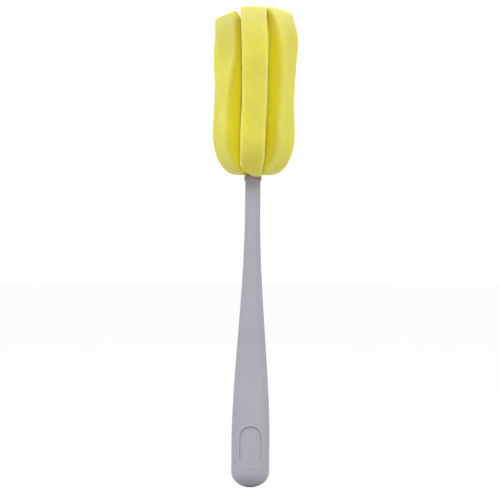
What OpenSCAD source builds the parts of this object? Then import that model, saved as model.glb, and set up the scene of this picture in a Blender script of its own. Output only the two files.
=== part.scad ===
// Foam washing brush: a moulded handle and a push-in head of three crossed foam strips.
// Millimetres, +Z up. The origin is at the bottom of the handle, on its axis. The front faces -Y.

/* [Handle] */
// Height of the handle, from its rounded end to its mouth
handle_h = 190.7; // [170:0.1:210]
// Width of the grip at its widest
grip_w = 23.7; // [20:0.1:28]
// Depth of the grip, front to back
grip_d = 15.6; // [13:0.1:20]
// Height at which the grip starts to taper
taper_start = 30; // [20:1:45]
// How early the grip slims down: below 1 it slims sooner
taper_bias = 0.9; // [0.8:0.05:1.2]
// Height of the rounded end
end_h = 9.5; // [6:0.5:12]

/* [Neck] */
// Radius of the round neck below the mouth
neck_r = 4.75; // [4.5:0.05:6]
// Length of the straight round neck
neck_len = 18; // [12:1:30]
// Radius of the socket down the neck
socket_r = 3.0; // [2.5:0.05:3.2]
// Depth of the socket below the mouth
socket_depth = 35; // [25:1:45]

/* [Pocket] */
// Width of the bare pocket on the front of the grip
pocket_w = 13.8; // [8:0.1:15]
// Height of the pocket
pocket_h = 25.6; // [16:0.1:32]
// Height of the pocket's centre
pocket_z = 25.6; // [22:0.1:35]
// Depth of the pocket below the surface
pocket_depth = 0.6; // [0.3:0.1:1]

/* [Plug] */
// Radius of the collar
collar_r = 5.3; // [5:0.05:6.5]
// Height of the collar above the handle's mouth
collar_h = 4.1; // [3:0.1:6]
// Length of the stem in the socket
stem_len = 33.5; // [20:0.5:34]
// Clearance of the stem in the socket, all round
stem_gap = 0.05; // [0.02:0.01:0.1]

/* [Foam] */
// Width of a foam strip
strip_w = 16; // [12:0.5:16]
// Thickness of a foam strip
strip_t = 12; // [9:0.5:12.5]
// Thickness of one strip where the washer squeezes it
web_t = 2.6; // [2:0.1:4]
// Gap between neighbouring petals where they meet
petal_gap = 0.15; // [0.1:0.05:0.3]

/* [Clamp] */
// Radius of the washer
washer_r = 8; // [6:0.5:8]
// Thickness of the washer
washer_t = 1.2; // [0.8:0.1:2]
// Radius of the screw's shank
screw_r = 1.5; // [1.2:0.1:1.75]
// Length of the screw under its head
screw_len = 25; // [18:1:30]

/* [Hidden] */

SIDES = 48;              // sides of the grip's outline
SQUARENESS = 2.5;        // exponent of the grip's oval: 2 is an ellipse
neck_lip = 0.03;         // how far the grip stands out where the round neck leaves it
plug_top = handle_h + collar_h;
strips_top = plug_top + 3 * web_t;
washer_top = strips_top + washer_t;
taper_end = handle_h - neck_len;

// Outer line of a petal: a rounded foot, then [height above the collar, distance from the axis].
foot_h = 21;             // height of the rounded foot
foot_in = 5;             // distance from the axis where the foot's curve is flat
PETAL_LINE = [[21, 25.4], [46, 24.5], [84, 25.8], [97, 24.6], [105.2, 22]];

// Petals: [top above the collar, lean inward at the top, twist at the top, rise across the top edge].
// +u is a quarter turn anticlockwise from a petal's outward direction, seen from above. A positive twist
// turns the outer face towards +u, and a positive rise lifts the top's +u corner.
FRONT = [105.2, 1, 0, 0];
BACK = [97, 0, 0, 1];
LEFT_FRONT = [97.8, -1.5, 16, 7];
RIGHT_REAR = [97, 0, 5, 2.5];
RIGHT_FRONT = [101.2, 0.6, -14, -7];
LEFT_REAR = [94, 0, -4, -2.5];

function smooth(t) = let (c = min(1, max(0, t))) c * c * (3 - 2 * c);
function mix(a, b, t) = a + (b - a) * t;
// Value at x on a line through [x, y] points, eased between neighbours.
function on_line(p, x, i = 0) =
    i >= len(p) - 2 || x <= p[i + 1][0]
    ? mix(p[i][1], p[i + 1][1], smooth((x - p[i][0]) / (p[i + 1][0] - p[i][0])))
    : on_line(p, x, i + 1);

// ---------- closed skin over a stack of rings with equal numbers of points ----------
module skin(rings) {
    n = len(rings[0]);
    m = len(rings);
    polyhedron(
        points = [for (r = rings) each r],
        faces = [
            [for (i = [0:n - 1]) i],
            for (j = [0:m - 2]) for (i = [0:n - 1]) each
                let (a = j * n + i, b = j * n + (i + 1) % n)
                [[a, a + n, b], [b, a + n, b + n]],
            [for (i = [n - 1:-1:0]) (m - 1) * n + i]
        ]
    );
}

// ---------- handle ----------
// Share of the full grip section that is left at height z: 1 in the grip, 0 in the neck.
function grip_share(z) = 1 - smooth(pow(max(0, z - taper_start) / (taper_end - taper_start), taper_bias));
// Share of the width that the rounded end leaves at height z. The very end is a flat of about a millimetre.
function end_share(z) = z >= end_h ? 1 : sqrt(1 - pow((end_h - z) / (end_h + 0.01), 2));
function grip_point(a, rx, ry, k) =
    [sign(cos(a)) * rx * pow(abs(cos(a)), 2 / k), sign(sin(a)) * ry * pow(abs(sin(a)), 2 / k)];

function grip_ring(z, inset) =
    let (
        s = grip_share(z),
        rx = (mix(neck_r + neck_lip, grip_w / 2, s) - inset) * end_share(z),
        ry = (mix(neck_r + neck_lip, grip_d / 2, s) - inset) * end_share(z),
        k = mix(2, SQUARENESS, s)
    )
    [for (i = [0:SIDES - 1]) let (p = grip_point(i * 360 / SIDES, rx, ry, k)) [p[0], p[1], z]];

module grip(heights, inset = 0) skin([for (z = heights) grip_ring(z, inset)]);

module stadium(w, h) {
    translate([0, h / 2 - w / 2]) circle(d = w, $fn = 48);
    translate([0, w / 2 - h / 2]) circle(d = w, $fn = 48);
    square([w, h - w], center = true);
}

END_HEIGHTS = [0, 0.3, 0.8, 1.6, 2.8, 4.4, 6.4, end_h];
BODY_STEP = 6;
body_heights = [for (z = [end_h + 4.5:BODY_STEP:taper_end - 1]) z];

module handle() color("#b4b3bb") {
    difference() {
        union() {
            grip(concat(END_HEIGHTS, body_heights, [taper_end]));
            translate([0, 0, taper_end - 5]) cylinder(h = neck_len + 5, r = neck_r, $fn = 96);
        }
        translate([0, -grip_d, pocket_z]) rotate([-90, 0, 0])
            linear_extrude(grip_d) stadium(pocket_w, pocket_h);
        translate([0, 0, handle_h - socket_depth]) cylinder(h = socket_depth + 1, r = socket_r, $fn = 64);
    }
    grip([for (z = [pocket_z - pocket_h / 2 - 1:3.4:pocket_z + pocket_h / 2 + 2]) z], pocket_depth);
}

// ---------- plug ----------
stem_r = socket_r - stem_gap;
core_r = stem_r - 0.5;
rib_w = 1.4;
tip_len = 2;
pilot_depth = screw_len - (washer_top - plug_top) + 1;

module head_plug() color("#a9a7b0") difference() {
    union() {
        translate([0, 0, handle_h]) rotate_extrude($fn = 96) polygon([
            [0, 0], [collar_r - 0.4, 0], [collar_r, 0.4], [collar_r, collar_h - 0.5],
            [collar_r - 0.5, collar_h], [0, collar_h]
        ]);
        translate([0, 0, handle_h - stem_len + tip_len])
            cylinder(h = stem_len - tip_len + 0.5, r = core_r, $fn = 64);
        translate([0, 0, handle_h - stem_len]) cylinder(h = tip_len, r1 = core_r - 0.8, r2 = core_r, $fn = 64);
        intersection() {
            translate([0, 0, handle_h - stem_len + tip_len])
                cylinder(h = stem_len - tip_len, r = stem_r, $fn = 64);
            for (a = [0, 90]) rotate(a) translate([-stem_r, -rib_w / 2, handle_h - stem_len])
                cube([2 * stem_r, rib_w, stem_len]);
        }
    }
    translate([0, 0, plug_top - pilot_depth]) cylinder(h = pilot_depth + 1, r = screw_r + 0.05, $fn = 48);
}

// ---------- foam ----------
// A strip runs from the tip of one petal down, across the axis under the washer, and up to the other tip.
// Sections are given by an outer and an inner point, [distance from the axis, height above the collar].
function foot_r(h) = foot_in + (PETAL_LINE[0][1] - foot_in) * sqrt(max(0, 1 - pow((foot_h - h) / foot_h, 2)));
function outer_r(h) = h < foot_h ? foot_r(h) : on_line(PETAL_LINE, h);
// Widest half width that stays in a petal's own sixth of the circle.
function sector(r) = max(0, r * tan(30) - petal_gap);

clear_r = washer_r + 1;   // inside this radius a strip is only its squeezed web
web_half = sector(clear_r);
HEIGHTS = [96, 90, 83, 75, 66, 57, 48, 40, 32, 26, 21];
BENDS = [[14.5, 16], [9.6, 11.5], [5.6, 7.4], [3.2, 5]];  // [outer, inner] heights round the fold

// One section of a petal: outer and inner points, half widths, then twist and rise.
function section(o, i, turn = 0, rise = 0) = [o, i, turn, rise];

function petal_sections(p, layer) =
    let (
        bottom = layer * web_t,
        top = bottom + web_t,
        lean = function (h) p[1] * pow(max(0, (h - 55) / 50), 2),
        turn = function (h) p[2] * smooth((h - 40) / 65),
        rise = function (h) p[3] * smooth((h - 80) / 20)
    )
    concat(
        [for (h = concat([p[0], p[0] - 1.2], [for (x = HEIGHTS) if (x < p[0] - 3) x]))
            let (r = outer_r(h) - lean(h) - (h == p[0] ? 1 : 0), t = strip_t - (h == p[0] ? 2 : 0))
            section([r, h], [r - t, h], turn(h), rise(h))],
        [for (b = BENDS)
            let (r = outer_r(b[0]), back = mix(clear_r, outer_r(foot_h) - strip_t, smooth(b[1] / foot_h)))
            section([r, max(b[0], bottom)], [back, max(b[1], top)])],
        [section([clear_r, bottom], [clear_r, top])]
    );

// Corners of a section in the strip's own frame: s along the strip, u across it.
function corners(sec, side) =
    let (
        o = sec[0], i = sec[1],
        wo = min(strip_w / 2, sector(o[0])), wi = min(strip_w / 2, sector(i[0])),
        c = min(1.6, wo / 3, norm(o - i) / 3),
        dir = (i - o) / norm(o - i),
        oc = o + dir * c,
        mid = (o + i) / 2
    )
    [for (q = [[o, c - wo], [oc, -wo], [i, -wi], [i, wi], [oc, wo], [o, wo - c]])
        let (
            ds = q[0][0] - mid[0],
            s = mid[0] + ds * cos(sec[2]) - q[1] * sin(sec[2]),
            u = q[1] * cos(sec[2]) + ds * sin(sec[2])
        )
        [side * s, side * u, q[0][1] + sec[3] * q[1] / strip_w]];

module strip(first, second, layer, azimuth) {
    a = [for (s = petal_sections(first, layer)) corners(s, 1)];
    b = [for (s = petal_sections(second, layer)) corners(s, -1)];
    flipped = [for (j = [len(b) - 1:-1:0]) [for (k = [0:5]) b[j][5 - k]]];
    color("#e8dc5c") translate([0, 0, plug_top]) rotate(azimuth) difference() {
        skin(concat(a, flipped));
        translate([0, 0, -1]) cylinder(h = 3 * web_t + 2, r = screw_r + 0.1, $fn = 32);
    }
}

module foam_strip_front() strip(FRONT, BACK, 0, -90);
module foam_strip_left() strip(LEFT_FRONT, RIGHT_REAR, 1, -150);
module foam_strip_right() strip(RIGHT_FRONT, LEFT_REAR, 2, -30);

// ---------- clamp ----------
screw_head_r = 3.2;
screw_head_h = 2.2;

module clamp_washer() color("#b4b3bb") translate([0, 0, strips_top]) difference() {
    cylinder(h = washer_t, r = washer_r, $fn = 96);
    translate([0, 0, -1]) cylinder(h = washer_t + 2, r = screw_r + 0.2, $fn = 48);
}

module clamp_screw() color("silver") translate([0, 0, washer_top]) difference() {
    union() {
        translate([0, 0, -screw_len]) cylinder(h = screw_len, r = screw_r, $fn = 48);
        rotate_extrude($fn = 64) polygon([
            [0, 0], [screw_head_r, 0], [screw_head_r, screw_head_h * 0.5],
            [screw_head_r - 0.8, screw_head_h], [0, screw_head_h]
        ]);
    }
    for (a = [0, 90]) rotate(a) translate([-2, -0.4, screw_head_h - 1]) cube([4, 0.8, 2]);
}

handle();
head_plug();
foam_strip_front();
foam_strip_left();
foam_strip_right();
clamp_washer();
clamp_screw();
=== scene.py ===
"""Looks of the foam washing brush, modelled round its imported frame.

The frame is in metres, +Z up, with the front of the brush facing -Y. The classes below hold their
own sizes in millimetres, because the brush was drawn in millimetres, and turn them into metres
where a mesh is written.
"""

import logging
import math
from dataclasses import dataclass
from enum import Enum

import bpy
import numpy as np
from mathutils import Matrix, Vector


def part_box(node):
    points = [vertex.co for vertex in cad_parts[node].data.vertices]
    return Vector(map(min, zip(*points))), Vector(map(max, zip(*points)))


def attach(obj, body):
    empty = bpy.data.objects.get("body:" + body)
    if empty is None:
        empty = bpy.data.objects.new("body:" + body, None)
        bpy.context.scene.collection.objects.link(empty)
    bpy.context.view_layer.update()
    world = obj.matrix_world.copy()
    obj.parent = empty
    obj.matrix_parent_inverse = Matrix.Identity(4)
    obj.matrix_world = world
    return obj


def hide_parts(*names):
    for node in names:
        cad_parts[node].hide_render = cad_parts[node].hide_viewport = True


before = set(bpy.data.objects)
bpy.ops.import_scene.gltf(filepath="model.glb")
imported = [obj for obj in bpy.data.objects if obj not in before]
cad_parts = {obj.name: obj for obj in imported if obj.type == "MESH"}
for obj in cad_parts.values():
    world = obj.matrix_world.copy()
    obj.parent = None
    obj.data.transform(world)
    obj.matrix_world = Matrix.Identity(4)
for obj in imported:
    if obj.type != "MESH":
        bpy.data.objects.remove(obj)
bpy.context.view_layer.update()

MM = 0.001
LOG = logging.getLogger("brush")


# ---------------------------------------------------------------- tools for meshes


class Axis(Enum):
    """A direction of the row frame, by its place in a coordinate."""

    X = 0
    Y = 1
    Z = 2


def only(obj: bpy.types.Object) -> None:
    """Leaves one object selected and active.

    Args:
        obj: the object that the next operators act on.
    """
    if bpy.context.object and bpy.context.object.mode != "OBJECT":
        bpy.ops.object.mode_set(mode="OBJECT")
    bpy.ops.object.select_all(action="DESELECT")
    obj.select_set(True)
    bpy.context.view_layer.objects.active = obj


def points_mm(obj: bpy.types.Object) -> np.ndarray:
    """Reads a mesh's points.

    Args:
        obj: a mesh object at the origin.

    Returns:
        One row of x, y and z for each point, in millimetres.
    """
    flat = np.zeros(len(obj.data.vertices) * 3)
    obj.data.vertices.foreach_get("co", flat)
    return flat.reshape(-1, 3) / MM


def move_points(obj: bpy.types.Object, points: np.ndarray) -> None:
    """Puts a mesh's points in new places.

    Args:
        obj: a mesh object at the origin.
        points: one row of x, y and z for each point, in millimetres.
    """
    obj.data.vertices.foreach_set("co", (points * MM).ravel())
    obj.data.update()


def cut_along(obj: bpy.types.Object, axis: Axis, splits: tuple[int, ...]) -> None:
    """Cuts every edge that runs along an axis into equal lengths.

    Args:
        obj: a mesh whose edges along that axis are straight.
        axis: the direction of the edges to cut.
        splits: how many lengths each pass makes of an edge. The passes multiply.
    """
    only(obj)
    bpy.context.tool_settings.mesh_select_mode = (False, True, False)
    for pieces in splits:
        points = points_mm(obj)
        ends = np.zeros(len(obj.data.edges) * 2, dtype=int)
        obj.data.edges.foreach_get("vertices", ends)
        run = np.abs(points[ends[0::2]] - points[ends[1::2]])
        along = run[:, axis.value] > 0.999 * np.linalg.norm(run, axis=1)
        obj.data.polygons.foreach_set("select", np.zeros(len(obj.data.polygons), dtype=bool))
        obj.data.vertices.foreach_set("select", np.zeros(len(obj.data.vertices), dtype=bool))
        obj.data.edges.foreach_set("select", along)
        bpy.ops.object.mode_set(mode="EDIT")
        bpy.ops.mesh.subdivide(number_cuts=pieces - 1)
        bpy.ops.object.mode_set(mode="OBJECT")


def select_faces(obj: bpy.types.Object, chosen: np.ndarray) -> None:
    """Selects faces and goes into edit mode.

    Args:
        obj: a mesh object.
        chosen: true for each face to select.
    """
    only(obj)
    bpy.context.tool_settings.mesh_select_mode = (False, False, True)
    for items in (obj.data.vertices, obj.data.edges):
        items.foreach_set("select", np.zeros(len(items), dtype=bool))
    obj.data.polygons.foreach_set("select", chosen)
    bpy.ops.object.mode_set(mode="EDIT")


def select_points(obj: bpy.types.Object, chosen: np.ndarray) -> None:
    """Selects points, with the edges and faces between them, and goes into edit mode.

    Args:
        obj: a mesh object.
        chosen: true for each point to select.
    """
    only(obj)
    bpy.context.tool_settings.mesh_select_mode = (True, False, False)
    for items in (obj.data.polygons, obj.data.edges):
        items.foreach_set("select", np.zeros(len(items), dtype=bool))
    obj.data.vertices.foreach_set("select", chosen)
    bpy.ops.object.mode_set(mode="EDIT")


def face_middles(obj: bpy.types.Object) -> np.ndarray:
    """Gives the middle of each face.

    Args:
        obj: a mesh object at the origin.

    Returns:
        One row of x, y and z for each face, in millimetres.
    """
    flat = np.zeros(len(obj.data.polygons) * 3)
    obj.data.polygons.foreach_get("center", flat)
    return flat.reshape(-1, 3) / MM


def apply_displacement(obj: bpy.types.Object, texture: bpy.types.Texture, height: float) -> None:
    """Moves a surface in and out along its normals by a texture.

    Args:
        obj: the mesh to work on.
        texture: a procedural texture, read at the mesh's own points.
        height: distance from the lowest to the highest place, in millimetres.
    """
    only(obj)
    relief = obj.modifiers.new("relief", "DISPLACE")
    relief.texture = texture
    relief.texture_coords = "LOCAL"
    relief.strength = height * MM
    relief.mid_level = 0.5
    bpy.ops.object.modifier_apply(modifier=relief.name)


def point_attribute(obj: bpy.types.Object, name: str, values: np.ndarray) -> None:
    """Stores a number at each point, for a material to read.

    Args:
        obj: a mesh object.
        name: the attribute's name.
        values: one number for each point.
    """
    attribute = obj.data.attributes.new(name, "FLOAT", "POINT")
    attribute.data.foreach_set("value", values.astype(np.float32))


def smooth_step(t: np.ndarray) -> np.ndarray:
    """Eases from 0 to 1.

    Args:
        t: how far along, where below 0 and above 1 are the two ends.

    Returns:
        The eased value, from 0 to 1.
    """
    t = np.clip(t, 0, 1)
    return t * t * (3 - 2 * t)


def smooth_line(x: np.ndarray, knots_x: np.ndarray, knots_y: np.ndarray) -> np.ndarray:
    """Reads a smooth curve that passes through knots.

    Args:
        x: where to read the curve.
        knots_x: the knots' places, rising.
        knots_y: the knots' values.

    Returns:
        The curve's value at each x, and the end values beyond the ends.
    """
    slopes = np.gradient(knots_y, knots_x)
    x = np.clip(x, knots_x[0], knots_x[-1])
    i = np.clip(np.searchsorted(knots_x, x) - 1, 0, len(knots_x) - 2)
    span = knots_x[i + 1] - knots_x[i]
    t = (x - knots_x[i]) / span
    return (
        knots_y[i] * (1 + 2 * t) * (1 - t) ** 2
        + slopes[i] * span * t * (1 - t) ** 2
        + knots_y[i + 1] * t * t * (3 - 2 * t)
        + slopes[i + 1] * span * t * t * (t - 1)
    )


def soft_min(a: np.ndarray, b: np.ndarray, blend: float) -> np.ndarray:
    """Takes the smaller of two values, with the corner between them rounded.

    Args:
        a: the first values.
        b: the second values.
        blend: over what difference the corner is rounded.

    Returns:
        The rounded smaller values.
    """
    h = np.clip(0.5 + 0.5 * (b - a) / blend, 0, 1)
    return b * (1 - h) + a * h - blend * h * (1 - h)


# ---------------------------------------------------------------- tools for materials


class Nodes:
    """Builds a node tree a node at a time."""

    def __init__(self, tree: bpy.types.NodeTree) -> None:
        """Starts on a tree.

        Args:
            tree: the material's, world's or group's tree.
        """
        self.tree = tree

    def add(self, kind: str, values: dict | None = None, **settings: object) -> bpy.types.Node:
        """Adds a node.

        Args:
            kind: the node's type name.
            values: input names, or numbers for inputs that share a name, to values or to sockets to link.
            settings: the node's own settings.

        Returns:
            The new node.
        """
        node = self.tree.nodes.new(kind)
        for name, value in settings.items():
            setattr(node, name, value)
        for key, value in (values or {}).items():
            if isinstance(value, bpy.types.NodeSocket):
                self.tree.links.new(value, node.inputs[key])
            else:
                node.inputs[key].default_value = value
        return node

    def math(self, operation: str, a: object, b: object = 0.0) -> bpy.types.NodeSocket:
        """Adds a maths node.

        Args:
            operation: what it does with the two values.
            a: the first value or socket.
            b: the second value or socket.

        Returns:
            The result's socket.
        """
        return self.add("ShaderNodeMath", {0: a, 1: b}, operation=operation).outputs[0]

    def ramp(self, value: bpy.types.NodeSocket, low: float, high: float) -> bpy.types.NodeSocket:
        """Maps a value so that low becomes 0 and high becomes 1.

        Args:
            value: the socket to map.
            low: the value that becomes 0.
            high: the value that becomes 1.

        Returns:
            The mapped value's socket, eased between its ends.
        """
        node = self.add(
            "ShaderNodeMapRange",
            {"Value": value, "From Min": low, "From Max": high},
            interpolation_type="SMOOTHSTEP",
        )
        return node.outputs["Result"]

    def mix(self, share: object, a: object, b: object) -> bpy.types.NodeSocket:
        """Mixes two colours.

        Args:
            share: how much of the second colour, as a value or a socket.
            a: the first colour or socket.
            b: the second colour or socket.

        Returns:
            The mixed colour's socket.
        """
        node = self.add("ShaderNodeMix", data_type="RGBA")
        for place, value in ((0, share), (6, a), (7, b)):
            if isinstance(value, bpy.types.NodeSocket):
                self.tree.links.new(value, node.inputs[place])
            else:
                node.inputs[place].default_value = value
        return node.outputs[2]


def rgba(red: float, green: float, blue: float) -> tuple[float, float, float, float]:
    """Makes an opaque colour of three linear channels."""
    return (red, green, blue, 1.0)


def tint(colour: tuple[float, float, float], factor: float) -> tuple[float, float, float, float]:
    """Makes an opaque colour, lighter or darker than the one given.

    Args:
        colour: three linear channels.
        factor: what each channel is multiplied by.

    Returns:
        The colour with an alpha of 1.
    """
    return rgba(*(channel * factor for channel in colour))


class SharedEffects:
    """Node groups that more than one material uses, each built once."""

    def __init__(self) -> None:
        """Builds the groups."""
        self.tone = self._tone()
        self.grain = self._grain()

    @staticmethod
    def _group(name: str, inputs: dict[str, str], outputs: dict[str, str]) -> bpy.types.NodeTree:
        """Makes an empty group.

        Args:
            name: the group's name.
            inputs: socket names to socket types.
            outputs: socket names to socket types.

        Returns:
            The group's tree, with its input and output nodes in it.
        """
        group = bpy.data.node_groups.new(name, "ShaderNodeTree")
        for way, sockets in (("INPUT", inputs), ("OUTPUT", outputs)):
            for socket, kind in sockets.items():
                group.interface.new_socket(socket, in_out=way, socket_type=kind)
        group.nodes.new("NodeGroupInput")
        group.nodes.new("NodeGroupOutput")
        return group

    def _tone(self) -> bpy.types.NodeTree:
        """Slow drift between two colours, in broad clouds with finer ones in them.

        Returns:
            The group, from Vector, Size, Light and Dark to Color and Mask.
        """
        group = self._group(
            "surface_tone",
            {
                "Vector": "NodeSocketVector",
                "Scale": "NodeSocketFloat",
                "Light": "NodeSocketColor",
                "Dark": "NodeSocketColor",
            },
            {"Color": "NodeSocketColor", "Mask": "NodeSocketFloat"},
        )
        nodes = Nodes(group)
        inward, outward = group.nodes[0], group.nodes[1]
        cloud = nodes.add(
            "ShaderNodeTexNoise",
            {
                "Vector": inward.outputs["Vector"],
                "Scale": inward.outputs["Scale"],
                "Detail": 4.0,
                "Roughness": 0.55,
            },
        )
        mask = nodes.ramp(cloud.outputs["Fac"], 0.35, 0.65)
        colour = nodes.mix(mask, inward.outputs["Light"], inward.outputs["Dark"])
        group.links.new(colour, outward.inputs["Color"])
        group.links.new(mask, outward.inputs["Mask"])
        return group

    def _grain(self) -> bpy.types.NodeTree:
        """Fine moulded or cut grain, as a height.

        Returns:
            The group, from Vector and Scale to Height.
        """
        group = self._group(
            "fine_grain",
            {"Vector": "NodeSocketVector", "Scale": "NodeSocketFloat"},
            {"Height": "NodeSocketFloat"},
        )
        nodes = Nodes(group)
        inward, outward = group.nodes[0], group.nodes[1]
        fine = nodes.add(
            "ShaderNodeTexNoise",
            {
                "Vector": inward.outputs["Vector"],
                "Scale": inward.outputs["Scale"],
                "Detail": 3.0,
                "Roughness": 0.6,
            },
        )
        group.links.new(fine.outputs["Fac"], outward.inputs["Height"])
        return group


@dataclass(frozen=True)
class MouldedPlastic:
    """Satin polypropylene as it comes from the mould, with a fine spark-eroded grain, and with painted
    highlights and painted shade where marked.
    """

    name: str
    colour: tuple[float, float, float]
    roughness: float = 0.42
    grain_per_metre: float = 3400.0
    grain_height: float = 0.00003
    drift_per_metre: float = 24.0
    painted_highlight_lift: float = 1.3
    painted_crease_shade: float = 0.78
    painted_highlight_height: float = -1.0
    painted_highlight_width: float = 0.0005

    def build(self, effects: SharedEffects) -> bpy.types.Material:
        """Makes the material.

        Args:
            effects: the shared node groups.

        Returns:
            The material.
        """
        material = bpy.data.materials.new(self.name)
        material.use_nodes = True
        nodes = Nodes(material.node_tree)
        shader = material.node_tree.nodes["Principled BSDF"]
        place = nodes.add("ShaderNodeTexCoord").outputs["Object"]
        tone = nodes.add(
            "ShaderNodeGroup",
            node_tree=effects.tone,
        )
        material.node_tree.links.new(place, tone.inputs["Vector"])
        tone.inputs["Scale"].default_value = self.drift_per_metre
        tone.inputs["Light"].default_value = tint(self.colour, 1.03)
        tone.inputs["Dark"].default_value = tint(self.colour, 0.965)
        # Painted highlight: points marked 'edge' and a thin band at one height are lightened, as if they
        # caught the light.
        edge = nodes.add("ShaderNodeAttribute", attribute_name="edge").outputs["Fac"]
        height = nodes.add("ShaderNodeSeparateXYZ", {"Vector": place}).outputs["Z"]
        away = nodes.math("ABSOLUTE", nodes.math("SUBTRACT", height, self.painted_highlight_height))
        band = nodes.ramp(away, self.painted_highlight_width, 0.0)
        painted_highlight_share = nodes.math("MAXIMUM", nodes.math("MULTIPLY", edge, 0.6), band)
        colour = nodes.mix(painted_highlight_share, tone.outputs["Color"], tint(self.colour, self.painted_highlight_lift))
        # Painted shade: points marked 'crease' are darkened, as if in the shade of the pocket's wall.
        crease = nodes.add("ShaderNodeAttribute", attribute_name="crease").outputs["Fac"]
        colour = nodes.mix(crease, colour, tint(self.colour, self.painted_crease_shade))
        grain = nodes.add("ShaderNodeGroup", node_tree=effects.grain)
        material.node_tree.links.new(place, grain.inputs["Vector"])
        grain.inputs["Scale"].default_value = self.grain_per_metre
        handled = nodes.add("ShaderNodeTexNoise", {"Vector": place, "Scale": 90.0, "Detail": 5.0})
        gloss = nodes.add(
            "ShaderNodeMapRange",
            {
                "Value": handled.outputs["Fac"],
                "From Min": 0.3,
                "From Max": 0.7,
                "To Min": self.roughness - 0.05,
                "To Max": self.roughness + 0.07,
            },
        )
        bump = nodes.add(
            "ShaderNodeBump",
            {"Height": grain.outputs["Height"], "Strength": 0.5, "Distance": self.grain_height},
        )
        links = material.node_tree.links
        links.new(colour, shader.inputs["Base Color"])
        links.new(gloss.outputs["Result"], shader.inputs["Roughness"])
        links.new(bump.outputs["Normal"], shader.inputs["Normal"])
        shader.inputs["Specular IOR Level"].default_value = 0.42
        return material


@dataclass(frozen=True)
class OpenCellFoam:
    """Soft polyurethane foam: matte, with fine open cells that swallow light, painted shade in the cells,
    painted bounce light in the grooves and painted highlights on corners and tips.
    """

    name: str
    colour: tuple[float, float, float]
    pore_painted_shade_colour: tuple[float, float, float]
    painted_highlight_colour: tuple[float, float, float]
    groove_painted_bounce_colour: tuple[float, float, float]
    cells_per_metre: float = 1500.0
    cell_depth: float = 0.00022
    drift_per_metre: float = 55.0

    def build(self, effects: SharedEffects) -> bpy.types.Material:
        """Makes the material.

        Args:
            effects: the shared node groups.

        Returns:
            The material.
        """
        material = bpy.data.materials.new(self.name)
        material.use_nodes = True
        nodes = Nodes(material.node_tree)
        links = material.node_tree.links
        shader = material.node_tree.nodes["Principled BSDF"]
        place = nodes.add("ShaderNodeTexCoord").outputs["Object"]
        tone = nodes.add("ShaderNodeGroup", node_tree=effects.tone)
        links.new(place, tone.inputs["Vector"])
        tone.inputs["Scale"].default_value = self.drift_per_metre
        tone.inputs["Light"].default_value = tint(self.colour, 1.02)
        tone.inputs["Dark"].default_value = tint(self.colour, 0.97)
        cells = nodes.add(
            "ShaderNodeTexVoronoi",
            {"Vector": place, "Scale": self.cells_per_metre, "Randomness": 1.0},
            feature="SMOOTH_F1",
        )
        pore = nodes.ramp(cells.outputs["Distance"], 0.42, 0.08)
        open_share = nodes.add(
            "ShaderNodeTexNoise", {"Vector": place, "Scale": self.cells_per_metre * 0.45, "Detail": 2.0}
        )
        chosen = nodes.ramp(open_share.outputs["Fac"], 0.42, 0.62)
        pit = nodes.math("MULTIPLY", pore, chosen)
        # Painted shade: the pits of the open cells are darkened, as the shade inside them.
        colour = nodes.mix(nodes.math("MULTIPLY", pit, 0.3), tone.outputs["Color"], rgba(*self.pore_painted_shade_colour))
        # Painted bounce light and shade: the farther a point lies from the outer face, the more it takes a
        # deeper, more saturated yellow, as light bounced between the petals.
        inward = nodes.add("ShaderNodeAttribute", attribute_name="inward").outputs["Fac"]
        colour = nodes.mix(nodes.ramp(inward, 0.05, 0.6), colour, rgba(*self.groove_painted_bounce_colour))
        # Painted highlight: points marked 'edge', on rounded corners and near the tips, are lightened.
        edge = nodes.add("ShaderNodeAttribute", attribute_name="edge").outputs["Fac"]
        colour = nodes.mix(nodes.math("MULTIPLY", edge, 0.55), colour, rgba(*self.painted_highlight_colour))
        grain = nodes.add("ShaderNodeGroup", node_tree=effects.grain)
        links.new(place, grain.inputs["Vector"])
        grain.inputs["Scale"].default_value = self.cells_per_metre * 1.7
        height = nodes.math("SUBTRACT", grain.outputs["Height"], pit)
        bump = nodes.add("ShaderNodeBump", {"Height": height, "Strength": 0.55, "Distance": self.cell_depth})
        links.new(colour, shader.inputs["Base Color"])
        links.new(bump.outputs["Normal"], shader.inputs["Normal"])
        shader.inputs["Roughness"].default_value = 0.95
        shader.inputs["Specular IOR Level"].default_value = 0.15
        shader.inputs["Sheen Weight"].default_value = 0.12
        shader.inputs["Sheen Roughness"].default_value = 0.6
        shader.inputs["Subsurface Weight"].default_value = 0.85
        shader.inputs["Subsurface Radius"].default_value = (1.0, 0.85, 0.12)
        shader.inputs["Subsurface Scale"].default_value = 0.008
        return material


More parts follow.
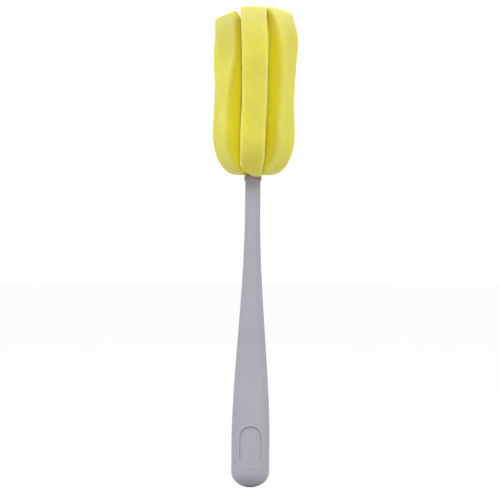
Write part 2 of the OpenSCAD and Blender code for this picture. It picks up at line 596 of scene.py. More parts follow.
@dataclass(frozen=True)
class TurnedSteel:
    """Plain stainless steel of a small screw, with faint lines from the lathe."""

    name: str
    colour: tuple[float, float, float]
    roughness: float = 0.32
    lines_per_metre: float = 9000.0

    def build(self, effects: SharedEffects) -> bpy.types.Material:
        """Makes the material.

        Args:
            effects: the shared node groups.

        Returns:
            The material.
        """
        material = bpy.data.materials.new(self.name)
        material.use_nodes = True
        nodes = Nodes(material.node_tree)
        links = material.node_tree.links
        shader = material.node_tree.nodes["Principled BSDF"]
        place = nodes.add("ShaderNodeTexCoord").outputs["Object"]
        tone = nodes.add("ShaderNodeGroup", node_tree=effects.tone)
        links.new(place, tone.inputs["Vector"])
        tone.inputs["Scale"].default_value = 600.0
        tone.inputs["Light"].default_value = tint(self.colour, 1.05)
        tone.inputs["Dark"].default_value = tint(self.colour, 0.85)
        grain = nodes.add("ShaderNodeGroup", node_tree=effects.grain)
        links.new(place, grain.inputs["Vector"])
        grain.inputs["Scale"].default_value = self.lines_per_metre
        bump = nodes.add(
            "ShaderNodeBump", {"Height": grain.outputs["Height"], "Strength": 0.3, "Distance": 0.00001}
        )
        links.new(tone.outputs["Color"], shader.inputs["Base Color"])
        links.new(bump.outputs["Normal"], shader.inputs["Normal"])
        shader.inputs["Metallic"].default_value = 1.0
        shader.inputs["Roughness"].default_value = self.roughness
        return material


# ---------------------------------------------------------------- handle


@dataclass
class Handle:
    """The moulded handle: an oval grip that tapers to a round neck with a socket in its mouth."""

    grip_width: float
    grip_depth: float
    height: float
    neck_radius: float = 4.75
    neck_length: float = 18.0
    taper_start: float = 30.0
    taper_bias: float = 0.9
    end_height: float = 9.5
    squareness: float = 2.5
    socket_radius: float = 3.0
    socket_depth: float = 35.0
    mouth_round: float = 0.45
    pocket_width: float = 13.8
    pocket_height: float = 25.6
    pocket_middle: float = 25.6
    pocket_sides: int = 96
    pocket_seam: float = 0.35
    pocket_rings: tuple[tuple[float, float], ...] = (
        (0.8, 0.0),
        (0.64, -0.1),
        (0.46, -0.15),
        (0.24, -0.15),
        (0.06, -0.06),
        (-0.04, 0.4),
        (-0.2, 0.58),
        (-0.42, 0.6),
        (-0.9, 0.6),
        (-1.6, 0.6),
        (-2.6, 0.6),
        (-3.8, 0.6),
        (-5.2, 0.6),
        (-6.4, 0.6),
    )
    parting_width: float = 0.24
    parting_height: float = 0.04
    corner_segments: int = 40
    body_rings: int = 81
    end_rings: int = 14
    mouth_rings: int = 5
    name: str = "handle_moulding"

    @classmethod
    def from_frame(cls) -> "Handle":
        """Takes the grip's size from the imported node.

        Returns:
            A handle of that size.
        """
        low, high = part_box("handle")
        size = (high - low) / MM
        return cls(grip_width=size.x, grip_depth=size.y, height=high.z / MM)

    @property
    def taper_end(self) -> float:
        """The height where the taper becomes the straight neck."""
        return self.height - self.neck_length

    def half_sizes(self, z: float) -> tuple[float, float]:
        """Gives half the width and half the depth of the body.

        Args:
            z: a height between the rounded end and the neck.

        Returns:
            The two half sizes.
        """
        t = max(0.0, z - self.taper_start) / (self.taper_end - self.taper_start)
        grip = 1 - float(smooth_step(np.array(min(t, 1.0) ** self.taper_bias)))
        rx = self.neck_radius + (self.grip_width / 2 - self.neck_radius) * grip
        ry = self.neck_radius + (self.grip_depth / 2 - self.neck_radius) * grip
        return rx, ry

    def build(self) -> bpy.types.Object:
        """Models the handle between an oval outline and the neck's round one.

        Returns:
            The finished mesh object.
        """
        obj = self._outlines()
        self._shape_body(obj)
        self._round_end(obj)
        self._draw_neck(obj)
        self._sink_pocket(obj)
        self._raise_parting_line(obj)
        only(obj)
        bpy.ops.object.mode_set(mode="EDIT")
        bpy.ops.mesh.select_all(action="SELECT")
        bpy.ops.mesh.normals_make_consistent(inside=False)
        bpy.ops.object.mode_set(mode="OBJECT")
        self._mark_edges(obj)
        bpy.ops.object.shade_smooth_by_angle(angle=math.radians(40))
        return obj

    def _outlines(self) -> bpy.types.Object:
        """Makes the grip's oval and the neck's circle, and bridges them with rings.

        Returns:
            An open tube from the top of the rounded end to the foot of the neck.
        """
        bpy.ops.object.select_all(action="DESELECT")
        bpy.ops.mesh.primitive_plane_add(size=2 * MM, location=(0, 0, 0))
        oval = bpy.context.object
        oval.name = self.name
        bpy.ops.object.mode_set(mode="EDIT")
        bpy.ops.mesh.select_all(action="SELECT")
        profile = 2 ** (-2 / self.squareness)
        bpy.ops.mesh.bevel(
            offset_type="PERCENT",
            offset_pct=50,
            segments=self.corner_segments,
            profile=profile,
            affect="VERTICES",
        )
        bpy.ops.mesh.select_all(action="SELECT")
        bpy.ops.mesh.remove_doubles(threshold=0.0001 * MM)
        bpy.ops.mesh.delete(type="ONLY_FACE")
        bpy.ops.mesh.select_all(action="SELECT")
        wide = (self.grip_width / 2, self.grip_depth / 2, 1)
        bpy.ops.transform.resize(value=wide, center_override=(0, 0, 0))
        bpy.ops.transform.translate(value=(0, 0, self.end_height * MM))
        bpy.ops.mesh.select_all(action="DESELECT")
        bpy.ops.mesh.primitive_circle_add(
            vertices=4 * self.corner_segments,
            radius=self.neck_radius * MM,
            location=(0, 0, self.taper_end * MM),
        )
        bpy.ops.mesh.select_all(action="SELECT")
        bpy.ops.mesh.bridge_edge_loops(
            type="SINGLE", number_cuts=self.body_rings, interpolation="LINEAR", smoothness=0
        )
        bpy.ops.object.mode_set(mode="OBJECT")
        return oval

    def _shape_body(self, obj: bpy.types.Object) -> None:
        """Sizes each ring of the bridge to the handle's taper.

        Args:
            obj: the open tube.
        """
        for ring in range(1, self.body_rings + 1):
            share = ring / (self.body_rings + 1)
            z = self.end_height + share * (self.taper_end - self.end_height)
            points = points_mm(obj)
            select_points(obj, np.abs(points[:, 2] - z) < 0.01)
            now_x = self.grip_width / 2 * (1 - share) + self.neck_radius * share
            now_y = self.grip_depth / 2 * (1 - share) + self.neck_radius * share
            rx, ry = self.half_sizes(z)
            bpy.ops.transform.resize(value=(rx / now_x, ry / now_y, 1), center_override=(0, 0, z * MM))
            bpy.ops.object.mode_set(mode="OBJECT")

    def _round_end(self, obj: bpy.types.Object) -> None:
        """Draws the lowest ring down into the rounded end and closes it.

        Args:
            obj: the tube, open below.
        """
        points = points_mm(obj)
        select_points(obj, points[:, 2] < self.end_height + 0.01)
        z, size = self.end_height, 1.0
        for turn in np.linspace(0, math.pi / 2, self.end_rings + 1)[1:]:
            new_z = self.end_height * (1 - math.sin(turn))
            new_size = max(math.cos(turn), 0.02)
            bpy.ops.mesh.extrude_region_move(TRANSFORM_OT_translate={"value": (0, 0, (new_z - z) * MM)})
            step = new_size / size
            bpy.ops.transform.resize(value=(step, step, 1), center_override=(0, 0, new_z * MM))
            z, size = new_z, new_size
        bpy.ops.mesh.edge_face_add()
        bpy.ops.mesh.poke()
        bpy.ops.object.mode_set(mode="OBJECT")

    def _draw_neck(self, obj: bpy.types.Object) -> None:
        """Draws the top ring up into the neck, rounds its mouth and pushes in the socket.

        Args:
            obj: the tube, open above.
        """
        points = points_mm(obj)
        select_points(obj, points[:, 2] > self.taper_end - 0.01)
        straight = self.neck_length - self.mouth_round
        for _ in range(2):
            bpy.ops.mesh.extrude_region_move(TRANSFORM_OT_translate={"value": (0, 0, straight / 2 * MM)})
        z, radius = self.height - self.mouth_round, self.neck_radius
        for turn in np.linspace(0, math.pi / 2, self.mouth_rings + 1)[1:]:
            new_z = self.height - self.mouth_round * (1 - math.sin(turn))
            new_radius = self.neck_radius - self.mouth_round * (1 - math.cos(turn))
            bpy.ops.mesh.extrude_region_move(TRANSFORM_OT_translate={"value": (0, 0, (new_z - z) * MM)})
            step = new_radius / radius
            bpy.ops.transform.resize(value=(step, step, 1), center_override=(0, 0, new_z * MM))
            z, radius = new_z, new_radius
        for drop, new_radius in ((0, 3.15), (0.15, 3.0), (1, 3.0), (self.socket_depth - 1.15, 3.0)):
            z -= drop
            bpy.ops.mesh.extrude_region_move(TRANSFORM_OT_translate={"value": (0, 0, -drop * MM)})
            step = new_radius / radius
            bpy.ops.transform.resize(value=(step, step, 1), center_override=(0, 0, z * MM))
            radius = new_radius
        bpy.ops.mesh.edge_face_add()
        bpy.ops.mesh.poke()
        bpy.ops.object.mode_set(mode="OBJECT")

    def _pocket_planes(self) -> list[tuple[float, float, float, float]]:
        """Lists the short straight sides of the hole that the pocket is let into.

        Returns:
            For each side, a point on it as x and z, and the way out of the pocket as x and z.
        """
        radius = self.pocket_width / 2 + self.pocket_rings[0][0] + self.pocket_seam
        half = (self.pocket_height - self.pocket_width) / 2
        planes = [(radius, self.pocket_middle, 1.0, 0.0), (-radius, self.pocket_middle, -1.0, 0.0)]
        for halving in range(1, 6):
            for part in range(1, 2**halving, 2):
                turn = math.pi * part / 2**halving
                for end in (1, -1):
                    nx, nz = math.cos(turn), end * math.sin(turn)
                    planes.append((radius * nx, self.pocket_middle + end * half + radius * nz, nx, nz))
        return planes

    def _inside(self, x: np.ndarray, z: np.ndarray) -> np.ndarray:
        """Gives how far inside the pocket's outline a point is.

        Args:
            x: places across the grip.
            z: heights.

        Returns:
            The distance to the outline, positive inside it.
        """
        half = (self.pocket_height - self.pocket_width) / 2
        dz = np.maximum(np.abs(z - self.pocket_middle) - half, 0)
        return self.pocket_width / 2 - np.hypot(x, dz)

    def _pocket_sheet(self, obj: bpy.types.Object) -> bpy.types.Object:
        """Makes the pocket's bead, wall and floor as one sheet of rings that lies on the grip.

        Args:
            obj: the closed handle.

        Returns:
            The sheet, with its bead raised and its floor sunk.
        """
        radius = self.pocket_width / 2 + self.pocket_rings[0][0]
        half = (self.pocket_height - self.pocket_width) / 2
        bpy.ops.object.select_all(action="DESELECT")
        bpy.ops.mesh.primitive_circle_add(
            vertices=self.pocket_sides,
            radius=radius * MM,
            location=(0, -self.grip_depth * MM, self.pocket_middle * MM),
            rotation=(math.pi / 2, math.pi / self.pocket_sides, 0),
        )
        sheet = bpy.context.object
        bpy.ops.object.transform_apply(location=True, rotation=True, scale=True)
        for end in (1, -1):
            points = points_mm(sheet)
            select_points(sheet, end * (points[:, 2] - self.pocket_middle) > 0)
            bpy.ops.transform.translate(value=(0, 0, end * half * MM))
            bpy.ops.object.mode_set(mode="OBJECT")
        cut_along(sheet, Axis.Z, (12,))
        bpy.ops.object.mode_set(mode="EDIT")
        bpy.ops.mesh.select_all(action="SELECT")
        bpy.ops.mesh.edge_face_add()
        for (outer, _), (inner, _) in zip(self.pocket_rings, self.pocket_rings[1:]):
            bpy.ops.mesh.inset(thickness=(outer - inner) * MM, depth=0, use_even_offset=True)
        bpy.ops.object.mode_set(mode="OBJECT")
        wrap = sheet.modifiers.new("lay_on_grip", "SHRINKWRAP")
        wrap.target = obj
        wrap.wrap_method = "PROJECT"
        wrap.use_project_y = True
        wrap.use_positive_direction = True
        wrap.use_negative_direction = False
        only(sheet)
        bpy.ops.object.modifier_apply(modifier=wrap.name)
        for offset, depth in self.pocket_rings:
            points = points_mm(sheet)
            select_points(sheet, np.abs(self._inside(points[:, 0], points[:, 2]) + offset) < 0.03)
            bpy.ops.transform.translate(value=(0, depth * MM, 0))
            bpy.ops.object.mode_set(mode="OBJECT")
        return sheet

    def _sink_pocket(self, obj: bpy.types.Object) -> None:
        """Cuts the pocket's outline in the front of the grip and lets its sheet into the hole.

        Args:
            obj: the closed handle.
        """
        sheet = self._pocket_sheet(obj)
        middles = face_middles(obj)
        sunk = (middles[:, 1] < 0) & (self._inside(middles[:, 0], middles[:, 2]) > -3)
        planes = self._pocket_planes()
        for count, (x, z, nx, nz) in enumerate(planes):
            select_faces(obj, sunk)
            bpy.ops.mesh.bisect(plane_co=(x * MM, 0, z * MM), plane_no=(nx, 0, nz), threshold=0.02 * MM)
            bpy.ops.object.mode_set(mode="OBJECT")
            middles = face_middles(obj)
            sunk = (middles[:, 1] < 0) & (self._inside(middles[:, 0], middles[:, 2]) > -3)
            for px, pz, ox, oz in planes[: count + 1]:
                sunk &= (middles[:, 0] - px) * ox + (middles[:, 2] - pz) * oz < 0
        select_faces(obj, sunk)
        bpy.ops.mesh.delete(type="FACE")
        bpy.ops.object.mode_set(mode="OBJECT")
        only(obj)
        sheet.select_set(True)
        bpy.ops.object.join()
        bpy.ops.object.mode_set(mode="EDIT")
        bpy.context.tool_settings.mesh_select_mode = (False, True, False)
        bpy.ops.mesh.select_all(action="DESELECT")
        bpy.ops.mesh.select_non_manifold(
            extend=False,
            use_wire=False,
            use_boundary=True,
            use_multi_face=False,
            use_non_contiguous=False,
            use_verts=False,
        )
        bpy.ops.mesh.bridge_edge_loops()
        bpy.ops.object.mode_set(mode="OBJECT")

    def _raise_parting_line(self, obj: bpy.types.Object) -> None:
        """Leaves a fine ridge down both sides, where the two halves of the mould met.

        Args:
            obj: the handle.
        """
        points = points_mm(obj)
        side = (np.abs(points[:, 1]) < 0.002) & (np.abs(points[:, 0]) > self.neck_radius - 0.01)
        side &= (points[:, 2] > 1) & (points[:, 2] < self.height - self.mouth_round - 0.01)
        select_points(obj, side)
        bpy.context.tool_settings.mesh_select_mode = (False, True, False)
        bpy.ops.mesh.bevel(
            offset=self.parting_width / 2 * MM, offset_type="OFFSET", segments=2, profile=1.0, affect="EDGES"
        )
        bpy.ops.object.mode_set(mode="OBJECT")
        points = points_mm(obj)
        side = (np.abs(points[:, 1]) < 0.002) & (np.abs(points[:, 0]) > self.neck_radius - 0.1)
        side &= (points[:, 2] > 2) & (points[:, 2] < self.height - self.mouth_round - 0.5)
        select_points(obj, side)
        bpy.ops.transform.shrink_fatten(value=self.parting_height * MM)
        bpy.ops.object.mode_set(mode="OBJECT")

    def _mark_edges(self, obj: bpy.types.Object) -> None:
        """Marks the pocket's rim and the mouth for a painted highlight, and its crease inside the wall for
        painted shade.

        Args:
            obj: the handle.
        """
        points = points_mm(obj)
        inside = np.where(points[:, 1] < 0, self._inside(points[:, 0], points[:, 2]), -99.0)
        # Painted highlight on the rim bead and the mouth, painted shade in the crease at the foot of the
        # pocket's wall.
        rim = (inside < -0.1) & (inside > 0.1 - self.pocket_rings[0][0])
        crease = (inside > 0.02) & (inside < 0.3)
        mouth = np.abs(points[:, 2] - self.height) < self.mouth_round
        point_attribute(obj, "edge", (rim | mouth).astype(float))
        point_attribute(obj, "crease", crease.astype(float))

    def finish(self, obj: bpy.types.Object, material: bpy.types.Material) -> None:
        """Dresses the handle and puts it on its body.

        Args:
            obj: the handle's mesh object.
            material: its finish.
        """
        obj.data.materials.append(material)
        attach(obj, "handle")
        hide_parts("handle")


# ---------------------------------------------------------------- foam


@dataclass
class Petal:
    """One upright arm of a foam strip.

    Each knot is (height above the collar, outer face's distance from the axis, twist in degrees,
    shift across, width, thickness). Inside the rounded foot the height counts down to 0 at the
    clamp. Twist and shift are positive anticlockwise round the axis, seen from above. Rise, crown
    and dip shape the tip: how much higher its far edge is, how far its middle stands above its two
    edges, and how far its inner edge lies below its outer one. Sag is how far the foot hangs over
    the collar, and gape how far one side of it is lifted off: its clockwise side, or the other one
    where gape is negative.
    """

    knots: list[tuple[float, ...]]
    top: float
    rise: float = 0.0
    crown: float = 0.0
    dip: float = 0.0
    sag: float = 0.0
    gape: float = 0.0

    def at(self, height: np.ndarray, column: int) -> np.ndarray:
        """Reads one of the knots' values at given heights.

        Args:
            height: heights above the collar.
            column: which value, counted from 1.

        Returns:
            The value at each height.
        """
        table = np.array(self.knots)
        return smooth_line(height, table[:, 0], table[:, column])


@dataclass
class FoamStrip:
    """A foam strip that crosses the collar and folds up into two petals."""

    name: str
    node: str
    first: Petal
    second: Petal
    layer: int
    azimuth: float
    base: float
    width: float = 16.2
    thickness: float = 12.0
    edge_round: float = 2.4
    inner_round: float = 0.7
    flare: float = 0.3
    end_round: float = 0.5
    web: float = 2.6
    foot_height: float = 26.5
    foot_in: float = 9.0
    foot_arc: float = 34.0
    collar_radius: float = 5.3
    splits: tuple[int, ...] = (8, 8, 8)
    lump_height: float = 0.5
    cell_height: float = 0.16

    def build(self) -> bpy.types.Object:
        """Cuts the strip as a long block with rounded edges, and folds it.

        Returns:
            The finished mesh object.
        """
        bpy.ops.object.select_all(action="DESELECT")
        bpy.ops.mesh.primitive_cube_add(size=2 * MM)
        obj = bpy.context.object
        obj.name = self.name
        cut_along(obj, Axis.Y, (6, 6))
        cut_along(obj, Axis.Z, (4, 7))
        cut_along(obj, Axis.X, self.splits)
        flat = points_mm(obj)
        across = flat[:, 1] * self.width / 2
        through = flat[:, 2] * self.thickness / 2
        across, through = self._round_edges(across, through)
        corner = np.hypot(
            self.width / 2 - np.abs(across), self.thickness / 2 - np.abs(through)
        )
        folded = np.zeros_like(flat)
        for petal, side in ((self.first, 1), (self.second, -1)):
            mine = flat[:, 0] * side >= 0
            folded[mine] = self._fold(
                petal, np.abs(flat[mine, 0]), side * across[mine], through[mine]
            ) * np.array([side, side, 1])
        turn = math.radians(self.azimuth)
        x = folded[:, 0] * math.cos(turn) - folded[:, 1] * math.sin(turn)
        y = folded[:, 0] * math.sin(turn) + folded[:, 1] * math.cos(turn)
        move_points(obj, np.stack([x, y, folded[:, 2] + self.base], axis=1))
        # Painted highlight mask: rounded corners and the tip, where light catches the foam.
        tip = (1 - np.abs(flat[:, 0])) * (self.foot_in + self.foot_arc + 75)
        light = np.maximum(0.7 * np.exp(-((corner / 1.4) ** 2)), np.exp(-((tip / 12) ** 2)))
        point_attribute(obj, "edge", light)
        # How far inward from the outer face, for the painted bounce light and shade in the grooves.
        point_attribute(obj, "inward", 0.5 - through / self.thickness)
        self._roughen(obj)
        only(obj)
        bpy.ops.object.shade_smooth()
        return obj

    def _round_edges(self, across: np.ndarray, through: np.ndarray) -> tuple[np.ndarray, np.ndarray]:
        """Rounds the four long edges of the flat strip.

        Args:
            across: places across the strip.
            through: places through its thickness.

        Returns:
            The two places after rounding.
        """
        radius = np.where(through > 0, self.edge_round, self.inner_round)
        inner_a = self.width / 2 - radius
        inner_t = self.thickness / 2 - radius
        near_a = np.clip(across, -inner_a, inner_a)
        near_t = np.clip(through, -inner_t, inner_t)
        da, dt = across - near_a, through - near_t
        reach = np.maximum(np.maximum(np.abs(da), np.abs(dt)), 1e-9)
        scale = reach / np.maximum(np.hypot(da, dt), 1e-9)
        return near_a + da * scale, near_t + dt * scale

    def _fold(
        self, petal: Petal, share: np.ndarray, across: np.ndarray, through: np.ndarray
    ) -> np.ndarray:
        """Folds one half of the strip up into a petal.

        Args:
            petal: the petal's own lean, twist and top.
            share: how far along the half strip, from 0 at the middle to 1 at the tip.
            across: places across the strip.
            through: places through it, positive outwards.

        Returns:
            Points with x outwards from the axis, y across and z above the collar.
        """
        length = self.foot_in + self.foot_arc + petal.top - self.foot_height
        s = share * length
        past_flat = s - self.foot_in
        h = np.where(
            past_flat < self.foot_arc,
            self.foot_height * past_flat / self.foot_arc,
            self.foot_height + past_flat - self.foot_arc,
        )
        from_tip = np.clip((length - s) / self.end_round, 0, 1)
        inset = self.end_round * (1 - np.sqrt(1 - (1 - from_tip) ** 2))
        across = across * (1 - inset / (self.width / 2))
        through = through * (1 - inset / (self.thickness / 2))

        bottom = self.layer * self.web
        ceiling = bottom + self.web
        bend = np.clip(1 - h / self.foot_height, 0, 1) * math.pi / 2
        outer_wall = petal.at(h, 1)
        thick = petal.at(h, 5)
        flat_part = np.clip(s, 0, self.foot_in)
        in_flat = h <= 0
        outer_r = np.where(in_flat, flat_part, self.foot_in + (outer_wall - self.foot_in) * np.cos(bend))
        outer_z = np.where(h < self.foot_height, self.foot_height * (1 - np.sin(bend)), h)
        lift = bottom * (1 - smooth_step((outer_r - 6.5) / 2.5))
        outer_z = np.where(in_flat, bottom, np.maximum(outer_z, 0) + lift)
        inner_wall = outer_wall - thick
        inner_r = np.where(in_flat, flat_part, self.foot_in + (inner_wall - self.foot_in) * np.cos(bend))
        inner_z = np.where(
            in_flat,
            ceiling,
            np.where(
                h < self.foot_height,
                ceiling + (self.foot_height - ceiling) * (1 - np.sin(bend)),
                h,
            ),
        )
        depth = through / self.thickness + 0.5
        r = inner_r + (outer_r - inner_r) * depth
        z = inner_z + (outer_z - inner_z) * depth
        own_sixth = np.maximum(r, 6.5) * math.tan(math.pi / 6) + 0.2
        half = soft_min(petal.at(h, 4) / 2 + self.flare * (1 - depth), own_sixth, 0.4)
        u = across / (self.width / 2) * half

        twist = np.radians(petal.at(h, 2))
        middle = (inner_r + outer_r) / 2
        dr = r - middle
        r, u = (
            middle + dr * np.cos(twist) - u * np.sin(twist),
            u * np.cos(twist) + dr * np.sin(twist),
        )
        u = u + petal.at(h, 3) * smooth_step((outer_r - 4) / 4)
        top_share = smooth_step((h - petal.top + 26) / 26)
        z = z + petal.rise * u / self.width * top_share
        z = z - petal.crown * (u / (self.width / 2)) ** 2 * top_share
        z = z - petal.dip * (1 - depth) * top_share
        hang = smooth_step((4 - h) / 4) * smooth_step((outer_r - self.collar_radius - 0.2) / 2.5)
        z = z - petal.sag * hang * depth
        open_side = math.copysign(1, petal.gape)
        gape = smooth_step((1.6 - open_side * u) / 3.6)
        gape *= smooth_step((r - 3.2) / 1.2) * smooth_step((11 - r) / 4)
        z = z + abs(petal.gape) * gape * smooth_step((8 - h) / 5)
        return np.stack([r, u, z], axis=1)

    def _roughen(self, obj: bpy.types.Object) -> None:
        """Gives the cut faces soft lumps and open cells.

        Args:
            obj: the folded strip.
        """
        lumps = bpy.data.textures.new(f"{self.name}_lumps", "CLOUDS")
        lumps.noise_scale = 0.016
        lumps.noise_depth = 1
        apply_displacement(obj, lumps, self.lump_height)
        cells = bpy.data.textures.new(f"{self.name}_cells", "CLOUDS")
        cells.noise_scale = 0.0014
        cells.noise_depth = 2
        apply_displacement(obj, cells, self.cell_height)

    def finish(self, obj: bpy.types.Object, material: bpy.types.Material) -> None:
        """Dresses the strip and puts it on the head.

        Args:
            obj: the strip's mesh object.
            material: its finish.
        """
        obj.data.materials.append(material)
        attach(obj, "head")
        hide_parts(self.node)


def foam_strips(base: float) -> list[FoamStrip]:
    """Lists the head's three strips with the way each petal stands.

    Args:
        base: height of the collar's top, where the lowest strip lies.

    Returns:
        The strips, from the lowest up.
    """
    front = Petal(
        [
            (0, 25.4, 0, 2.0, 6.6, 12),
            (4, 25.4, 0, 1.3, 8.4, 12),
            (6.3, 25.4, 0, 0.1, 11.4, 12),
            (9.3, 25.4, 0, -0.8, 13.4, 12),
            (13.5, 25.4, 0, -0.5, 14.6, 12.4),
            (21, 25.4, 0, -0.3, 15.1, 12.8),
            (47, 24.6, 0, 0.6, 15.4, 12.4),
            (84, 25.4, 0, 0.3, 15.9, 12),
            (104, 22.0, 0, -0.7, 15.9, 11),
        ],
        top=104.2,
        crown=0.2,
        sag=0.9,
        gape=2.2,
    )
    back = Petal(
        [
            (0, 25.4, 0, 0, 15.0, 12),
            (18, 25.4, 0, 0, 17.2, 12.4),
            (47, 24.5, 2, 0, 17.0, 12),
            (84, 25.6, 3, 0, 16.4, 12),
            (103, 23.4, 4, 0, 16.0, 11.5),
        ],
        top=97.0,
        rise=1.0,
        crown=0.6,
        dip=1.5,
    )
    left_front = Petal(
        [
            (0, 25.3, -2, 0, 16.0, 12),
            (21, 25.7, -3, 0, 16.2, 12.6),
            (47, 24.7, -1, 0, 16.2, 12),
            (78, 22.2, 19, 0.2, 16.0, 12),
            (94, 24.0, 28, 0.8, 16.0, 11),
            (101, 24.3, 34, 2.2, 16.0, 10.8),
        ],
        top=97.8,
        rise=7.1,
        dip=8.5,
        gape=-2.4,
    )
    right_rear = Petal(
        [
            (0, 25.4, 0, 0, 16.0, 12),
            (21, 25.4, 0, 0, 16.0, 12.4),
            (47, 24.6, 1, 0, 16.2, 12),
            (84, 25.6, 5, 0, 16.2, 12),
            (103, 22.6, 8, 0, 16.0, 11.5),
        ],
        top=97.0,
        rise=2.5,
        crown=1.2,
        dip=1.5,
    )
    right_front = Petal(
        [
            (0, 25.9, -10, 0, 16.0, 12),
            (21, 26.3, -12, -0.5, 16.4, 13),
            (47, 25.8, 2, 0, 16.4, 12.2),
            (70, 27.0, -3, 0, 16.4, 12),
            (82, 27.7, -10, 0, 16.4, 11.8),
            (91, 26.6, -19, -0.3, 16.4, 11),
            (98, 24.2, -31, -0.6, 16.4, 10.5),
            (104, 21.6, -46, -1.0, 16.6, 9.5),
        ],
        top=101.2,
        rise=-7.4,
        crown=1.0,
        dip=1.0,
    )
    left_rear = Petal(
        [
            (0, 25.4, 0, 0, 16.0, 12),
            (21, 25.4, 0, 0, 16.0, 12.4),
            (47, 24.6, -1, 0, 16.2, 12),
            (84, 25.2, -4, 0, 16.2, 12),
            (103, 22.6, -7, 0, 16.0, 11.5),
        ],
        top=94.0,
        rise=-2.5,
        crown=0.8,
        dip=1.5,
    )
    return [
        FoamStrip("foam_front_back", "foam_strip_front", front, back, 0, -90.0, base, edge_round=1.5),
        FoamStrip("foam_left_front", "foam_strip_left", left_front, right_rear, 1, -150.0, base),
        FoamStrip(
            "foam_right_front", "foam_strip_right", right_front, left_rear, 2, -30.0, base, edge_round=3.0
        ),
    ]


# ---------------------------------------------------------------- studio


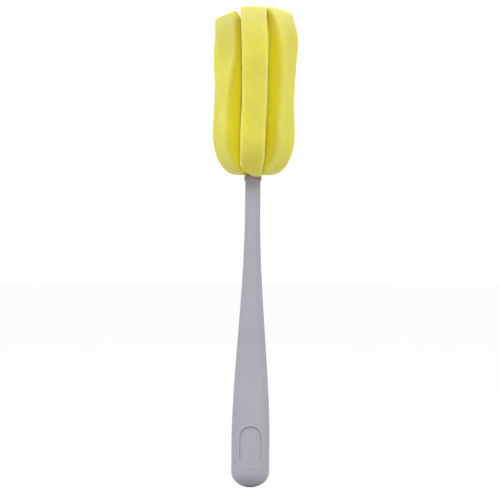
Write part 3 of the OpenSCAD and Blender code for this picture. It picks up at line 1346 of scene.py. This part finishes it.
@dataclass
class Studio:
    """A white sweep, soft light and a camera square to the front of the brush."""

    distance: float = 2.5
    view_width: float = 0.3121
    view_middle: tuple[float, float] = (-0.0014, 0.148)
    roll: float = -0.53
    sky_strength: float = 0.46
    ground_strength: float = 0.42
    white_strength: float = 1.05

    def build(self) -> None:
        """Makes the camera, the floor, the surroundings and the lights."""
        self._camera()
        self._floor()
        self._surroundings()
        self._light("key", (-1.15, -0.75, 1.6), 0.8, 22.0)
        self._light("fill", (1.2, -0.8, 1.5), 0.9, 18.5)
        self._light("back", (0.3, 1.6, 1.2), 0.9, 8.0)

    def _camera(self) -> None:
        """Points a long lens at the brush's front, turned a little as the brush leans."""
        lens = bpy.data.cameras.new("camera")
        lens.sensor_width = 36.0
        lens.lens = lens.sensor_width * self.distance / self.view_width
        lens.clip_end = 50.0
        camera = bpy.data.objects.new("camera", lens)
        bpy.context.scene.collection.objects.link(camera)
        camera.location = (self.view_middle[0], -self.distance, self.view_middle[1])
        camera.rotation_euler = (math.pi / 2, math.radians(self.roll), 0)
        bpy.context.scene.camera = camera

    def _floor(self) -> None:
        """Lays a wide white floor under the brush."""
        bpy.ops.object.select_all(action="DESELECT")
        bpy.ops.mesh.primitive_plane_add(size=30)
        floor = bpy.context.object
        floor.name = "floor"
        material = bpy.data.materials.new("white_floor")
        material.use_nodes = True
        nodes = Nodes(material.node_tree)
        material.node_tree.nodes.clear()
        matte = nodes.add("ShaderNodeBsdfDiffuse", {"Color": rgba(0.6, 0.6, 0.6)})
        paper = nodes.add("ShaderNodeBsdfDiffuse", {"Color": rgba(0.12, 0.12, 0.12)})
        glow = nodes.add("ShaderNodeEmission", {"Color": rgba(1, 1, 1), "Strength": 0.92})
        lit = nodes.add("ShaderNodeAddShader", {0: paper.outputs[0], 1: glow.outputs[0]})
        seen = nodes.add("ShaderNodeLightPath").outputs["Is Camera Ray"]
        both = nodes.add("ShaderNodeMixShader", {0: seen, 1: matte.outputs[0], 2: lit.outputs[0]})
        nodes.add("ShaderNodeOutputMaterial", {"Surface": both.outputs[0]})
        floor.data.materials.append(material)

    def _surroundings(self) -> None:
        """Lights the scene evenly from all round, and shows plain white behind it."""
        world = bpy.data.worlds.new("surroundings")
        bpy.context.scene.world = world
        world.use_nodes = True
        nodes = Nodes(world.node_tree)
        world.node_tree.nodes.clear()
        way = nodes.add("ShaderNodeTexCoord").outputs["Generated"]
        up = nodes.add("ShaderNodeSeparateXYZ", {"Vector": way}).outputs["Z"]
        strength = nodes.add(
            "ShaderNodeMapRange",
            {
                "Value": up,
                "From Min": -0.3,
                "From Max": 0.9,
                "To Min": self.ground_strength,
                "To Max": self.sky_strength,
            },
        )
        sky = nodes.add(
            "ShaderNodeBackground", {"Color": rgba(1, 1, 1), "Strength": strength.outputs["Result"]}
        )
        white = nodes.add("ShaderNodeBackground", {"Color": rgba(1, 1, 1), "Strength": self.white_strength})
        seen = nodes.add("ShaderNodeLightPath").outputs["Is Camera Ray"]
        both = nodes.add("ShaderNodeMixShader", {0: seen, 1: sky.outputs[0], 2: white.outputs[0]})
        nodes.add("ShaderNodeOutputWorld", {"Surface": both.outputs[0]})
        bpy.context.scene.view_settings.view_transform = "Standard"

    def _light(self, name: str, place: tuple[float, float, float], size: float, power: float) -> None:
        """Adds a square soft light that faces the brush.

        Args:
            name: the light's name.
            place: where it stands, in metres.
            size: the length of its side, in metres.
            power: its output in watts.
        """
        lamp = bpy.data.lights.new(name, "AREA")
        lamp.size = size
        lamp.energy = power
        light = bpy.data.objects.new(name, lamp)
        bpy.context.scene.collection.objects.link(light)
        light.location = place
        aim = Vector((0, 0, 0.16)) - Vector(place)
        light.rotation_euler = aim.to_track_quat("-Z", "Y").to_euler()


# ---------------------------------------------------------------- the brush


def dress_node(node: str, material: bpy.types.Material) -> None:
    """Gives a carried-over CAD node its finish.

    Args:
        node: the node's name.
        material: its finish.
    """
    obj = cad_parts[node]
    obj.data.materials.clear()
    obj.data.materials.append(material)
    LOG.info("%s keeps its shape and takes %s", node, material.name)


def main() -> None:
    """Builds the studio and the brush, and reports each piece."""
    logging.basicConfig(level=logging.INFO, format="%(name)s: %(message)s")
    Studio().build()
    effects = SharedEffects()
    grip_plastic = MouldedPlastic("grey_polypropylene", (0.45, 0.44, 0.5)).build(effects)
    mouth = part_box("handle")[1].z
    # Painted shade: the plug's grey is darker and browner than the grip's, for the foam head's shadow and
    # yellow bounce light on the collar; a painted highlight band lies at its lower rim.
    plug_plastic_painted_shade = MouldedPlastic(
        "grey_polypropylene_plug_painted_shade", (0.38, 0.31, 0.35), painted_highlight_lift=1.9, painted_highlight_height=mouth + 0.0003
    ).build(effects)
    # The foam's own yellow, then the painted pore shade, the painted highlight and the painted groove bounce
    # light.
    foam = OpenCellFoam(
        "yellow_foam", (0.79, 0.73, 0.118), (0.62, 0.53, 0.04), (0.75, 0.72, 0.33), (0.95, 0.85, 0.045)
    ).build(effects)
    steel = TurnedSteel("stainless_screw", (0.62, 0.61, 0.6)).build(effects)

    handle = Handle.from_frame()
    obj = handle.build()
    handle.finish(obj, grip_plastic)
    LOG.info("%s has %d faces", obj.name, len(obj.data.polygons))

    collar_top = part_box("head_plug")[1].z / MM
    for strip in foam_strips(collar_top):
        obj = strip.build()
        strip.finish(obj, foam)
        LOG.info("%s has %d faces", obj.name, len(obj.data.polygons))

    dress_node("head_plug", plug_plastic_painted_shade)
    dress_node("clamp_washer", plug_plastic_painted_shade)
    dress_node("clamp_screw", steel)


if __name__ == "__main__":
    main()
